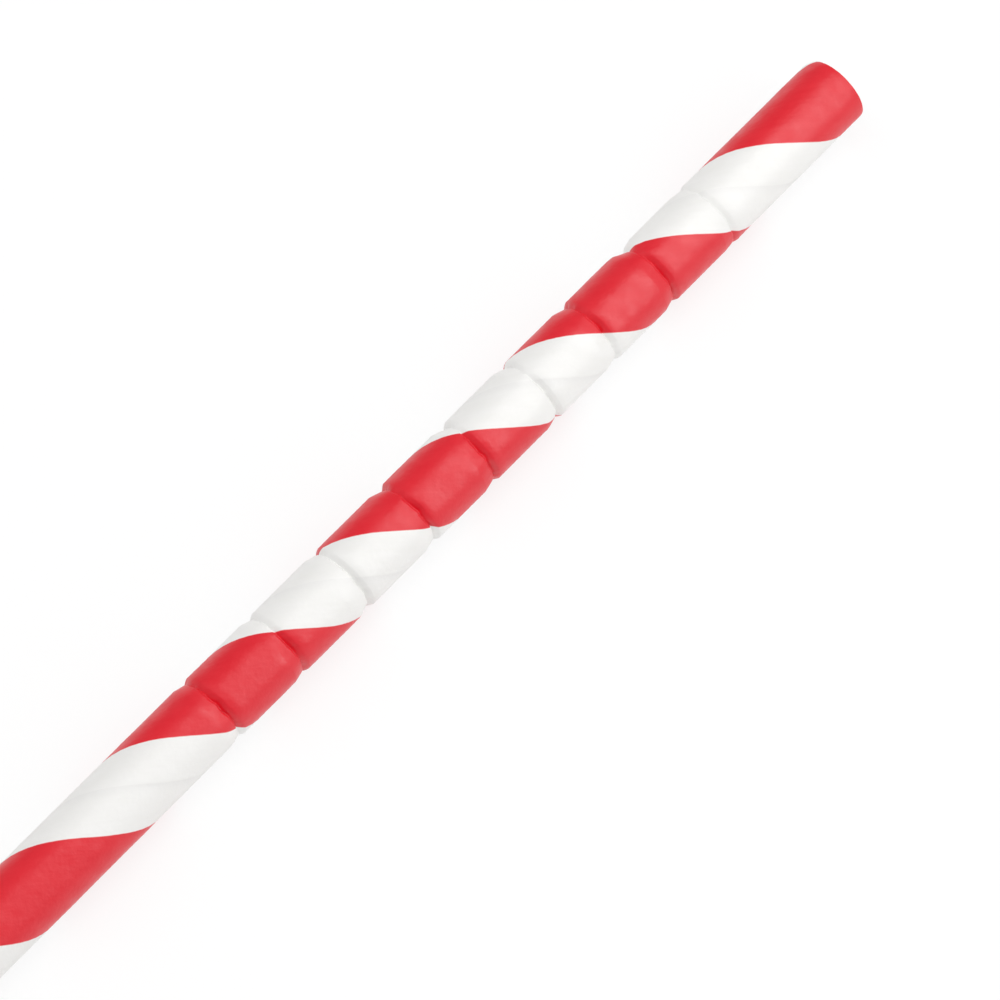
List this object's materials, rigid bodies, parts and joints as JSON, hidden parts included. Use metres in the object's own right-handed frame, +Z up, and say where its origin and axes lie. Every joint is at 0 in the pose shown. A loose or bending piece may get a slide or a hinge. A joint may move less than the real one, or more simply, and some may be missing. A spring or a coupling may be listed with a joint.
{
  "type": "paper drinking straw",
  "caption": "Spiral-wound paper drinking straw with red and white stripes: a thin round tube with a crimped flex section near its mouth end and square-cut ends.",
  "frame": {"origin": "middle of the straw's length, on the surface that it lies on, below its axis", "axes": "+X along the straw towards its mouth end, with the crimped stretch on that side; +Z up; the straw lies on its side"},
  "size_m": [0.21, 0.006, 0.006],
  "materials": {
    "printed_paper": "satin"
  },
  "bodies": {
    "root": {"paper_straw": "printed_paper"}
  },
  "joints": []
}
